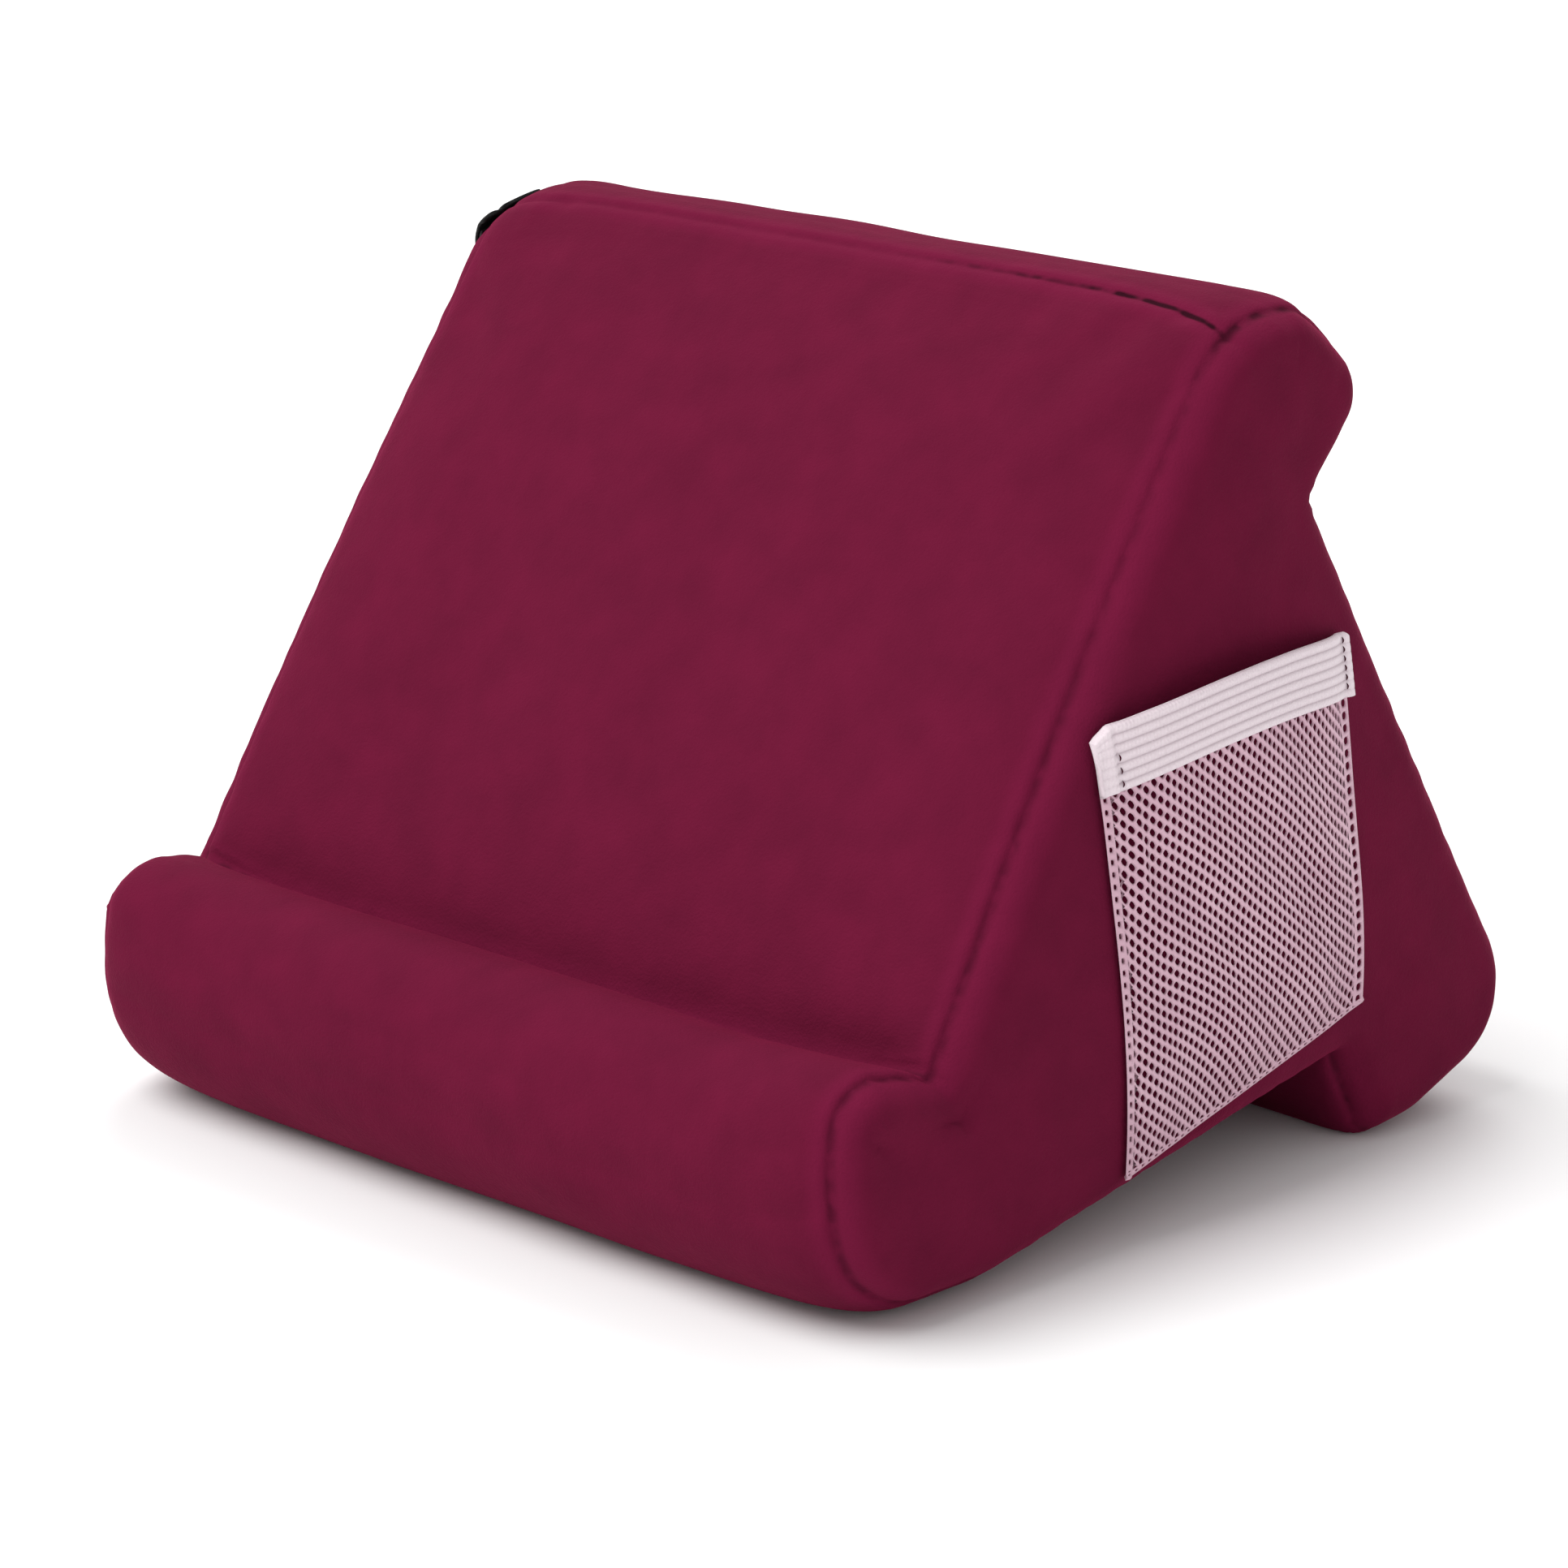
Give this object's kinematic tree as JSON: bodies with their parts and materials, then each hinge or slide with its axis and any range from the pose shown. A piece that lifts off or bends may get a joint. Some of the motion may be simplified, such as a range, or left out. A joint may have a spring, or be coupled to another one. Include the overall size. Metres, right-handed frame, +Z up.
{
  "type": "tablet pillow",
  "caption": "Filled plush cushion of triangular section with three lips that prop a tablet at three angles, a net pocket on one end and a hanging loop on the other.",
  "frame": {"origin": "middle of the part's footprint, on the surface that it stands on", "axes": "+Z up, +X towards the end with the net pocket, -Y towards the front lip and the face that a tablet leans on"},
  "size_m": [0.313, 0.268, 0.2385],
  "materials": {
    "plush": "short burgundy plush pile, soft and cloudy with lighter rims",
    "net": "pale pink knitted net",
    "elastic": "pale pinkish-white elastic, ribbed lengthwise",
    "webbing": "black woven webbing, slight sheen"
  },
  "bodies": {
    "root": {"pillow": "plush", "pocket_net": "net", "pocket_band": "elastic", "hanging_loop": "webbing"}
  },
  "joints": []
}
